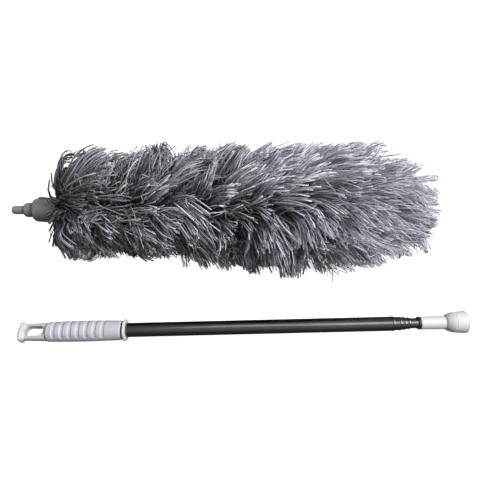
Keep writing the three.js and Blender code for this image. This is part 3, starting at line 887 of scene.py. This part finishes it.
def nearest_lock(share, angle, lock_share, lock_angle):
    """For each fibre, the lock whose middle is closest over the head's surface."""
    across = np.abs(turned(angle[:, None], lock_angle[None]))
    along = np.abs(share[:, None] - lock_share[None])
    return np.argmin((along * LOCK_ALONG) ** 2 + (across * LOCK_ACROSS) ** 2, axis=1)


def golden(count, rng, jitter):
    """Places spread evenly over the head, as (share, angle)."""
    step = np.arange(count)
    share = (step + rng.uniform(0, 1, count)) / count
    angle = (step * GOLDEN_ANGLE + rng.normal(0, jitter, count)) % (2 * math.pi)
    return share, angle


def bezier(points, t):
    p0, p1, p2, p3 = (p[:, None, :] for p in points)
    t = t[None, :, None]
    return (1 - t) ** 3 * p0 + 3 * (1 - t) ** 2 * t * p1 + 3 * (1 - t) * t**2 * p2 + t**3 * p3


def wavy(paths, rng, together=None):
    """Adds a wave to each path, growing from its root. The fibres of a lock wave together."""
    count, steps = paths.shape[:2]
    member = np.arange(count) if together is None else together
    number = int(member.max()) + 1
    t = np.linspace(0, 1, steps)[None, :, None]
    span = np.linalg.norm(paths[:, -1] - paths[:, 0], axis=1)[:, None, None]
    for _ in range(2):
        common = unit(rng.normal(0, 1, (number, 1, 3)))[member]
        direction = unit(common + WAVE_STRAY * unit(rng.normal(0, 1, (count, 1, 3))))
        phase = rng.uniform(0, 2 * math.pi, (number, 1, 1))[member]
        phase = phase + rng.normal(0, WAVE_PHASE, (count, 1, 1))
        turns = rng.uniform(*FIBRE_WAVES, (number, 1, 1))[member]
        turns = turns * rng.uniform(*WAVE_TURNS, (count, 1, 1))
        height = rng.uniform(*WAVE_HEIGHTS, (count, 1, 1)) * FIBRE_WAVE
        wave = np.sin(2 * math.pi * turns * span / WAVE_SPAN * t + phase) - np.sin(phase) * (1 - t)
        paths = paths + direction * height * t**WAVE_GROWTH * wave
    return paths


def on_floor(paths, rng):
    """Fibres that would reach below the floor bend and lie along it."""
    low = FLOOR_GAP - HEAD_ORIGIN[2] + rng.uniform(0, FLOOR_LAYER, (len(paths), 1))
    below = np.maximum(low - paths[..., 2], 0)
    side = np.sign(paths[..., 1]) * np.minimum(np.abs(paths[..., 1]) / FLOOR_SIDE, 1)
    paths = paths.copy()
    paths[..., 2] += below
    paths[..., 1] += FLOOR_SPREAD * side * below
    paths[..., 0] += FLOOR_SWEEP * below
    return paths


def ribbons(paths, width, thickness, rng, twist):
    """Closed flat strips with blunt ends along the paths: (points, triangles), numbered strip by strip."""
    count, steps = paths.shape[:2]
    t = np.linspace(0, 1, steps)
    tangent = unit(np.gradient(paths, axis=1))
    side = unit(np.cross(tangent, unit(rng.normal(0, 1, (count, 1, 3)))))
    up = np.cross(tangent, side)
    turn = rng.uniform(0, 2 * math.pi, (count, 1)) + rng.normal(0, twist, (count, 1)) * t
    across = np.cos(turn)[..., None] * side + np.sin(turn)[..., None] * up
    out = np.cross(tangent, across)
    # Narrowest at the root, widest two fifths along
    swell = (0.7 + 0.3 * np.sin(math.pi * np.minimum(t * 1.25, 0.75)))[None, :, None]
    half = 0.5 * width[:, None, None] * swell
    above = thickness[:, None, None] * swell
    corners = np.stack((paths + across * half, paths + out * above, paths - across * half), 2)
    return corners.reshape(count, -1, 3), ribbon_triangles(steps)


def ribbon_triangles(steps):
    """The triangles of one strip: three sides from ring to ring, and the two ends."""
    ring = np.arange(steps - 1)[:, None] * 3
    corner = np.arange(3)[None, :]
    a = ring + corner
    b = ring + (corner + 1) % 3
    c = b + 3
    d = a + 3
    sides = np.stack((np.stack((a, b, c), -1), np.stack((a, c, d), -1)), -2).reshape(-1, 3)
    last = (steps - 1) * 3
    return np.concatenate((sides, [(2, 1, 0)], [(last, last + 1, last + 2)]))


def colours(count, steps, tone, along, rng, painted_root_shade):
    """Colour of each corner: roots darkened as painted shade, up to lighter tips; paler towards the free
    end, partly as painted light; a little bluer or warmer from strip to strip.
    """
    t = np.linspace(0, 1, steps)[None, :]
    # Painted shade: the tone falls towards the root, where the fibres shade each other.
    lift = painted_root_shade + (1 - painted_root_shade) * np.clip(t * TONE_RISE, 0, 1) ** TONE_POWER
    share = np.clip((along - FLUFF_START) / (FLUFF_END - FLUFF_START), 0, 1)
    # Paler towards the free end and in two stretches: partly the fibres' own tone, partly painted light
    # falling off towards the plug.
    pale = PALE_ROOT + share + PALE_END * share**4
    for height, middle, width in PALE_STRETCHES:
        pale += height * np.exp(-(((share - middle) / width) ** 2))
    value = tone[:, None] * lift * pale[:, None]
    value = value / (1 + (value / PALEST) ** 4) ** 0.25
    tint = rng.normal(0, TINT_SPREAD, (count, 1))
    red, green, blue = FIBRE_TINT
    rgb = np.stack((value * (red + tint), value * green, value * (blue - tint)), -1)
    rgba = np.concatenate((rgb, np.ones((count, steps, 1))), -1)
    return np.repeat(rgba, 3, axis=1)


def groups(share, angle, rng, kind):
    """Tufts or locks over the head: which one each fibre is in, and how its fibres stray together."""
    count, turn, push, lengths, bend = kind
    middle_share, middle_angle = golden(count, rng, LOCK_JITTER)
    member = nearest_lock(share, angle, middle_share, middle_angle)
    return {
        "member": member,
        "share": middle_share[member],
        "angle": middle_angle[member],
        "turn": rng.normal(0, turn, count)[member],
        "push": rng.normal(0, push, count)[member],
        "length": rng.uniform(*lengths, count)[member],
        "bend": rng.normal(0, bend, (count, 3))[member],
        "tone": rng.normal(1, GROUP_TONE, count)[member],
    }


def leaned(share, lie, tip_angle, tip_along):
    """Tips drawn back where fibres stand upright, in front and in the middle, or sent on where they lie."""
    root_along = root_place(share)
    front = np.maximum(-np.sin(tip_angle), 0) * fall(share, *FRONT_END)
    upright = rise(share, *UPRIGHT_START) * fall(share, *UPRIGHT_END)
    lean = (1 - FRONT_LEAN * front) * (1 - UPRIGHT_LEAN * upright)
    near, more = LIE_ALONG
    return root_along + (tip_along - root_along) * lean + (near + more * (1 - share)) * lie


def main_fibres(rng):
    """The fibres that show, in tufts and in locks within them."""
    share, angle = golden(FIBRE_COUNT, rng, FIBRE_JITTER)
    tuft = groups(share, angle, rng, TUFTS)
    lock = groups(share, angle, rng, LOCKS)
    wild = np.where(rng.uniform(0, 1, FIBRE_COUNT) < LOOSE_SHARE, LOOSE_STRAY, 1.0)
    lie = press(share, angle)
    free = rise(share, *FREE_START)
    tangled = fall(share, *TANGLE_END) * rise(share, *TANGLE_START)
    stray = wild + FREE_STRAY * free + TANGLE_STRAY * tangled
    clump = rng.uniform(*CLUMP, LOCKS[0])[lock["member"]] * (1 - CLUMP_LOSS * free)
    tip_angle = angle + clump * turned(lock["angle"], angle) + tuft["turn"] * (1 + LIE_TURN * lie)
    tip_angle += lock["turn"] * (1 + TANGLE_TURN * tangled)
    tip_angle += rng.normal(0, STRAY_TURN, FIBRE_COUNT) * stray + SAG_TURN * np.sin(angle)
    tip_angle += parting(share, angle)
    tip_along, tip_radius = envelope(share + clump * (lock["share"] - share))
    push = tuft["push"] * (1 + LIE_PUSH * lie) + lock["push"]
    tip_along += push * (1 - FREE_PUSH * share**3) + rng.normal(0, STRAY_PUSH, FIBRE_COUNT) * stray
    tip_along = leaned(share, lie, tip_angle, tip_along)
    tip_along = np.maximum(tip_along, FLUFF_START + rng.uniform(*FIRST_TIPS, FIBRE_COUNT))
    tip_along = np.minimum(tip_along, FLUFF_END + rng.uniform(*LAST_TIPS, FIBRE_COUNT))
    length = tuft["length"] * lock["length"] * rng.uniform(*FIBRE_LENGTHS, FIBRE_COUNT)
    length *= tilt(share, tip_angle) * (1 - FLUFF_PRESS * press(share, tip_angle)) * shoulder(tip_along)
    bend = tuft["bend"] + lock["bend"] + rng.normal(0, STRAY_BEND, (FIBRE_COUNT, 3)) * stray[:, None]
    bend *= ((1 - LIE_BEND * lie) * (1 + TANGLE_BEND * tangled))[:, None]
    tip_radius = np.minimum(tip_radius * length, FLUFF_LIMIT * rng.uniform(*TIP_LIMITS, FIBRE_COUNT))
    ends = (root_place(share), angle, tip_along, tip_radius, tip_angle)
    paths = grown(ends, FIBRE_SEGMENTS, rng, bend, lie, lock["member"])
    tone = rng.lognormal(0, TONE_SPREAD, FIBRE_COUNT) ** (1 - FREE_EVENNESS * free)
    thinning = (1 - FREE_THINNING * free) * (1 - TANGLE_THINNING * tangled)
    wide = rng.uniform(*FIBRE_WIDTHS, FIBRE_COUNT) * thinning
    return paths, MAIN_TONE * lock["tone"] * tuft["tone"] * tone, wide


def under_fibres(rng):
    """Short fibres close to the core, made dark as painted shade in the depths of the fluff."""
    share, angle = golden(UNDER_COUNT, rng, UNDER_JITTER)
    tip_along, tip_radius = envelope(share)
    length = rng.uniform(*UNDER_LENGTHS, UNDER_COUNT)
    root_along = root_place(share)
    tip_along = root_along + (tip_along - root_along) * length
    tip_angle = angle + rng.normal(0, UNDER_TURN, UNDER_COUNT)
    bend = rng.normal(0, UNDER_BEND, (UNDER_COUNT, 3))
    ends = (root_along, angle, tip_along, tip_radius * length, tip_angle)
    paths = grown(ends, UNDER_SEGMENTS, rng, bend, np.zeros(UNDER_COUNT), None)
    tone = UNDER_SHADE_TONE * rng.lognormal(0, UNDER_SPREAD, UNDER_COUNT)
    return paths, tone, rng.uniform(*UNDER_WIDTHS, UNDER_COUNT)


def grown(ends, segments, rng, bend, lie, together):
    """Paths from the backing to the tips: they leave it outwards, then sweep to the free end or lie down."""
    root_along, root_angle, tip_along, tip_radius, tip_angle = ends
    count = len(root_along)
    root = on_head(root_along, np.full(count, BACKING_RADIUS - ROOT_SINK), root_angle)
    tip = on_head(tip_along, tip_radius, tip_angle)
    length = np.linalg.norm(tip - root, axis=1, keepdims=True)
    outward = on_head(np.zeros(count), np.ones(count), root_angle)
    chord = (tip - root) / length
    leave = unit(LEAVE_OUT * outward + LEAVE_ON * chord)
    sweep = unit(chord + np.array(SWEEP))
    above_root = on_head(root_along, tip_radius, root_angle)
    sweep = unit(sweep + LIE_SWEEP * lie[:, None] * unit(tip - above_root))
    t = np.linspace(0, 1, segments + 1)
    first = root + leave * length * CURVE + ROOT_BEND * bend
    second = tip - sweep * length * (CURVE + LIE_CURVE * lie[:, None]) + bend
    paths = wavy(bezier((root, first, second, tip), t), rng, together)
    paths[..., 2] -= rng.uniform(*DROOP, (count, 1)) * t**2
    return on_floor(paths, rng)


def stray_threads(rng):
    """Pale thin threads that have worked loose and curl over the surface."""
    steps = THREAD_SEGMENTS + 1
    t = np.linspace(0, 1, steps)[None, :]
    one = (THREAD_COUNT, 1)
    share = THREAD_START + THREAD_STRETCH * rng.uniform(0, 1, one) ** THREAD_CROWDING
    share = share + rng.uniform(*THREAD_RUN, one) * t
    angle = rng.uniform(0, 2 * math.pi, one) + rng.normal(0, THREAD_TURN, one) * t
    for size in (1.0, 0.5):
        waves = rng.uniform(*THREAD_WAVES, one) / size
        phase = rng.uniform(0, 2 * math.pi, (2, *one))
        lengthwise, around = np.sin(2 * math.pi * waves * t + phase)
        share = share + size * rng.uniform(*THREAD_WAVE_ALONG, one) * lengthwise
        angle = angle + size * rng.uniform(*THREAD_WAVE_AROUND, one) * around
    along, radius = envelope(share)
    lift = rng.uniform(*THREAD_LIFT, one) + 0.06 * np.sin(math.pi * t) + 0.03 * np.sin(9 * t + 40 * share)
    radius = radius * lift * tilt(share, angle) * (1 - FLUFF_PRESS * press(share, angle)) * shoulder(along)
    paths = on_floor(on_head(along, radius, angle), rng)
    tone = THREAD_TONE * rng.uniform(0.7, 1.1, THREAD_COUNT) * (1 - 0.5 * share[:, 0])
    return paths, tone, rng.uniform(*THREAD_WIDTHS, THREAD_COUNT)


def fibre_sets():
    """Every fibre as (middle along the head, corners, triangles, colours), one set per kind."""
    rng = np.random.default_rng(SEED)
    sets = []
    # How each kind is made, how much of its tone the roots keep under the painted shade, and how far it
    # twists
    kinds = ((main_fibres, 0.08, 1.6), (under_fibres, 0.5, 1.0), (stray_threads, 0.95, 3.0))
    for make, painted_root_shade, twist in kinds:
        paths, tone, wide = make(rng)
        count, steps = paths.shape[:2]
        points, triangles = ribbons(paths, FIBRE_WIDTH * wide, FIBRE_THICKNESS * np.sqrt(wide), rng, twist)
        points[..., 2] = np.maximum(points[..., 2], FLOOR_LOWEST - HEAD_ORIGIN[2])
        middle = 0.5 * (paths[:, 0, 0] + paths[:, -1, 0])
        paint = colours(count, steps, tone, middle, rng, painted_root_shade)
        sets.append((middle, points, triangles, paint))
    return sets


def fibre_piece(name, sets, low, high, material):
    """One piece of all the fibres whose middle lies between two places along the head."""
    points, triangles, paint = [], [], []
    total = 0
    for middle, corners, faces, colour in sets:
        chosen = (middle >= low) & (middle < high)
        count = int(chosen.sum())
        size = corners.shape[1]
        first = total + np.arange(count)[:, None, None] * size
        points.append(corners[chosen].reshape(-1, 3))
        triangles.append((faces[None] + first).reshape(-1, 3))
        paint.append(colour[chosen].reshape(-1, 4))
        total += count * size
    mesh = triangle_mesh(name, np.concatenate(points), np.concatenate(triangles))
    layer = mesh.attributes.new("fibre_tone_and_painted_light", "FLOAT_COLOR", "POINT")
    layer.data.foreach_set("color", np.concatenate(paint).astype(np.float32).ravel())
    mesh.transform(head_matrix())
    mesh.materials.append(material)
    return link(name, mesh)


def bend_with(piece, nodes):
    """Bakes the piece's placement into its mesh and hides the CAD nodes that it stands for."""
    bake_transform(piece)
    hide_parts(*nodes)


def build_head(materials):
    """The fibres, in lengths with few enough faces each, and the tape that they grow from."""
    sets = fibre_sets()
    first_cut = 0.5 * (HINGES[0] + HINGES[1])
    second_cut = 0.5 * (HINGES[1] + HINGES[2])
    near, far, last = FIBRE_CUTS
    rows = (
        ("fibres_1", -math.inf, near, 0, ("fluff_1",)),
        ("fibres_2", near, first_cut, 0, ("fluff_1", "fluff_2")),
        ("fibres_3", first_cut, HINGES[1], 1, ("fluff_2", "fluff_3")),
        ("fibres_4", HINGES[1], second_cut, 1, ("fluff_2", "fluff_3")),
        ("fibres_5", second_cut, far, 2, ("fluff_3", "fluff_4")),
        ("fibres_6", far, last, 2, ("fluff_3", "fluff_4")),
        ("fibres_7", last, math.inf, 2, ("fluff_4",)),
    )
    for name, low, high, hinge, nodes in rows:
        piece = fibre_piece(name, sets, low, high, materials["grey_fibre"])
        bend_with(piece, nodes)
    cuts = (BACKING_START, first_cut, second_cut, BACKING_END)
    for hinge in range(len(HINGES)):
        tape = backing_tape(f"backing_{hinge + 1}", cuts[hinge], cuts[hinge + 1])
        tape.data.materials.append(materials["backing_cloth"])
        bend_with(tape, (f"fluff_{hinge + 1}", f"fluff_{hinge + 2}"))


def backing_tape(name, start, end):
    """A length of the woven tape around the core, with a rib for each turn."""
    along = np.linspace(start, end, int((end - start) / BACKING_STEP))
    radius = BACKING_RADIUS - BACKING_RIB + BACKING_RIB * np.cos(2 * math.pi * along / BACKING_TURN)
    inside = [(place_along, BACKING_BORE) for place_along in along[::-4]]
    profile = [*zip(along, radius), *inside, (start, BACKING_BORE)]
    return lathe(name, profile, head_matrix(), BACKING_SIDES)


# Studio

CAMERA_PLACE = (0.0205, -0.3105, 0.5382)
CAMERA_ELEVATION = 58.0
CAMERA_AZIMUTH = -0.76
CAMERA_ROLL = -2.1
CAMERA_LENS = 31.98
CAMERA_SENSOR = 36.0
LIGHT_AIM = (0.0, 0.0, 0.05)
# Name, place, size across and along the pole, power and colour
LIGHTS = (
    ("key", (1.95, -0.1, 1.95), 2.2, 1.2, 95.0, (1.0, 1.0, 1.0)),
    ("top", (0.45, -0.2, 2.0), 1.2, 1.7, 5.6, (0.9, 0.92, 1.0)),
    ("top_right", (1.0, -0.3, 2.0), 1.2, 0.7, 1.9, (0.9, 0.92, 1.0)),
)
ROOM_UP = (0.42, -0.25, 0.88)  # the brightest place of the room, seen from the object
ROOM_TONES = (
    (0.0, (0.09, 0.07, 0.07)),
    (0.5, (0.07, 0.055, 0.055)),
    (0.62, (0.1, 0.095, 0.1)),
    (0.8, (0.22, 0.22, 0.225)),
    (0.95, (0.42, 0.42, 0.43)),
    (1.0, (0.5, 0.5, 0.51)),
)
GROUND_FLAT = 5.0
GROUND_RISE = 4.0
GROUND_STEPS = 12
GROUND_SIDES = 64
GROUND_TONE = (0.5, 0.5, 0.5, 1)
GROUND_GLOW = 0.92


def camera():
    elevation = math.radians(CAMERA_ELEVATION)
    azimuth = math.radians(CAMERA_AZIMUTH)
    roll = math.radians(CAMERA_ROLL)
    flat = math.cos(elevation)
    forward = Vector((math.sin(azimuth) * flat, math.cos(azimuth) * flat, -math.sin(elevation)))
    right = Vector((math.cos(azimuth), -math.sin(azimuth), 0))
    up = right.cross(forward)
    right_rolled = right * math.cos(roll) + up * math.sin(roll)
    up_rolled = up * math.cos(roll) - right * math.sin(roll)
    turn = Matrix((right_rolled, up_rolled, -forward)).transposed().to_4x4()
    data = bpy.data.cameras.new("camera")
    data.sensor_width = CAMERA_SENSOR
    data.lens = CAMERA_LENS
    data.clip_start = 0.01
    data.clip_end = 100
    view = link("camera", data)
    view.matrix_world = Matrix.Translation(CAMERA_PLACE) @ turn
    bpy.context.scene.camera = view


def floor():
    """A plain pale floor that curves up far away, so that every view has the same pale ground."""
    profile = [(0, GROUND_FLAT)]
    for step in range(1, GROUND_STEPS + 1):
        angle = math.radians(90 * step / GROUND_STEPS)
        profile.append((GROUND_RISE * (1 - math.cos(angle)), GROUND_FLAT + GROUND_RISE * math.sin(angle)))
    vertices = [(0, 0, 0)]
    faces = []
    for height, radius in profile:
        for i in range(GROUND_SIDES):
            angle = 2 * math.pi * i / GROUND_SIDES
            vertices.append((radius * math.cos(angle), radius * math.sin(angle), height))
    for i in range(GROUND_SIDES):
        j = (i + 1) % GROUND_SIDES
        faces.append((0, 1 + i, 1 + j))
        for k in range(len(profile) - 1):
            low = 1 + k * GROUND_SIDES
            high = low + GROUND_SIDES
            faces.append((low + i, high + i, high + j, low + j))
    mesh = bpy.data.meshes.new("studio_floor")
    mesh.from_pydata(vertices, [], faces)
    mesh.polygons.foreach_set("use_smooth", np.ones(len(faces), bool))
    ground = link("studio_floor", mesh)
    ground.visible_diffuse = False
    ground.visible_glossy = False
    ground.visible_shadow = False
    material, shader = new_material("pale_floor")
    shader.inputs["Base Color"].default_value = GROUND_TONE
    shader.inputs["Roughness"].default_value = 0.9
    shader.inputs["Specular IOR Level"].default_value = 0.1
    shader.inputs["Emission Color"].default_value = (1, 1, 1, 1)
    shader.inputs["Emission Strength"].default_value = GROUND_GLOW
    mesh.materials.append(material)


def lights():
    for name, spot, width, depth, power, colour in LIGHTS:
        data = bpy.data.lights.new(name, "AREA")
        data.shape = "RECTANGLE"
        data.size = width
        data.size_y = depth
        data.energy = power
        data.color = colour
        light = link(name, data)
        light.location = spot
        light.rotation_mode = "QUATERNION"
        light.rotation_quaternion = (Vector(LIGHT_AIM) - Vector(spot)).to_track_quat("-Z", "Y")


def world():
    """A soft room: dim at the level of the floor and brighter overhead, on the side of the key light."""
    room = bpy.data.worlds.new("room")
    room.use_nodes = True
    coordinates = add_node(room, "ShaderNodeTexCoord")
    toward = add_node(room, "ShaderNodeVectorMath")
    toward.operation = "DOT_PRODUCT"
    toward.inputs[1].default_value = Vector(ROOM_UP).normalized()
    wire(room, coordinates.outputs["Generated"], toward.inputs[0])
    height = add_node(room, "ShaderNodeMapRange", From_Min=-1)
    wire(room, toward.outputs["Value"], height.inputs["Value"])
    tones = ramp(room, height.outputs["Result"], ROOM_TONES)
    wire(room, tones, room.node_tree.nodes["Background"].inputs["Color"])
    bpy.context.scene.world = room
    bpy.context.scene.view_settings.view_transform = "Standard"


camera()
all_materials = build_materials()
build_pole(all_materials)
build_plug(all_materials)
dress_cad_nodes(all_materials)
build_head(all_materials)
floor()
lights()
world()

bpy.context.view_layer.update()
